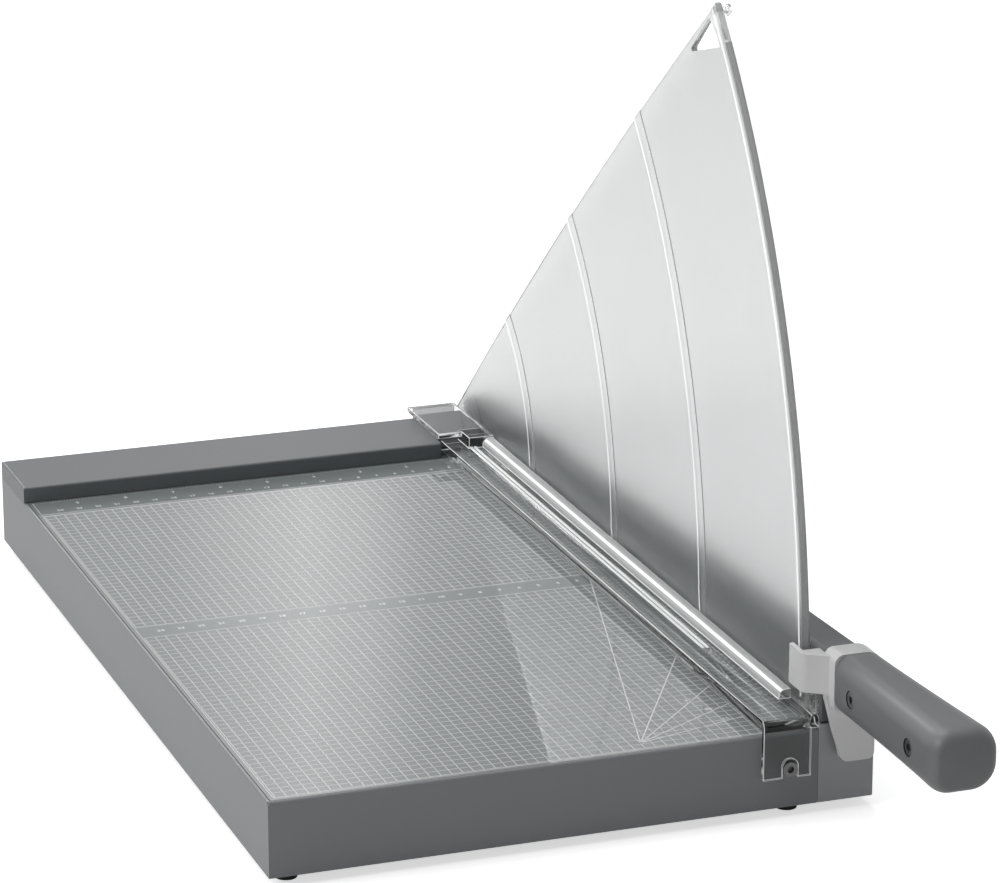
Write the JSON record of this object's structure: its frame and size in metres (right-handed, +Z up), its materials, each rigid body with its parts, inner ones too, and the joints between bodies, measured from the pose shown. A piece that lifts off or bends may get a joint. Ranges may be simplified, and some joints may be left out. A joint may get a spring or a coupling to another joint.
{
  "type": "paper trimmer",
  "caption": "Lever paper trimmer with a printed metal table, back fence, clear clamp strip with a finger guard, and a lifting knife arm with a soft handle.",
  "frame": {"origin": "below the middle of the outer box, on the surface that the feet stand on", "axes": "+X along the front from the left wall towards the arm, +Y from the handle to the back fence, +Z up"},
  "size_m": [0.2884, 0.5978, 0.3448],
  "materials": {
    "base_paint": "satin grey powder coat with a very fine texture",
    "rail_paint": "satin grey powder coat on an aluminium extrusion, a shade lighter than the tray",
    "printed_plate": "glossy grey plate, printed with a white 5 mm grid, rulers and angle rays",
    "arm_paint": "satin dark grey paint on cast aluminium",
    "ground_steel": "ground along its length",
    "blackened_steel": "black oxide",
    "zinc_steel": "bright zinc plate",
    "bronze": "sintered bronze",
    "rubber": "matt black rubber",
    "clear_plastic": "clear moulded plastic, the guard lightly frosted",
    "white_plastic": "satin white",
    "soft_grip": "soft-touch dark grey, fine grain"
  },
  "bodies": {
    "root": {"base_shell": "base_paint", "table_plate": "printed_plate", "back_fence": "base_paint", "fence_screws": "zinc_steel", "edge_bar": "blackened_steel", "bed_knife": "ground_steel", "bed_knife_screws": "blackened_steel", "side_rail": "rail_paint", "rail_front_cap": "rail_paint", "rail_rear_cap": "rail_paint", "cross_member_front": "base_paint", "cross_member_rear": "base_paint", "cross_member_screws": "zinc_steel", "rail_screws": "zinc_steel", "foot_front_left": "rubber", "foot_front_right": "rubber", "foot_rear_left": "rubber", "foot_rear_right": "rubber", "arm_bumper": "rubber", "pivot_bracket": "blackened_steel", "bracket_screws": "zinc_steel", "pivot_bolt": "zinc_steel", "disc_springs": "zinc_steel", "pivot_nut": "zinc_steel", "guide_screw_front": "zinc_steel", "guide_screw_rear": "zinc_steel", "clamp_spring_front": "zinc_steel", "clamp_spring_rear": "zinc_steel"},
    "clamp": {"clamp_strip": "clear_plastic", "guard_shield": "clear_plastic", "stop_pin": "clear_plastic"},
    "arm": {"arm_lever": "arm_paint", "pivot_bush": "bronze", "knife": "ground_steel", "knife_screws": "blackened_steel", "collar": "white_plastic", "handle": "soft_grip", "handle_screws": "blackened_steel"}
  },
  "joints": [
    {"name": "arm_lift", "type": "hinge", "parent": "root", "child": "arm", "pos_m": [0.12135, 0.2751, 0.0451], "axis": [-1, 0, 0], "range_deg": [0, 36.8]},
    {"name": "clamp_press", "type": "slide", "parent": "root", "child": "clamp", "axis": [0, 0, 1], "range_m": [-0.0014, 0], "stiffness_N_per_m": 1500, "springref_m": 0.006, "deforming": ["clamp_spring_front", "clamp_spring_rear"]}
  ]
}
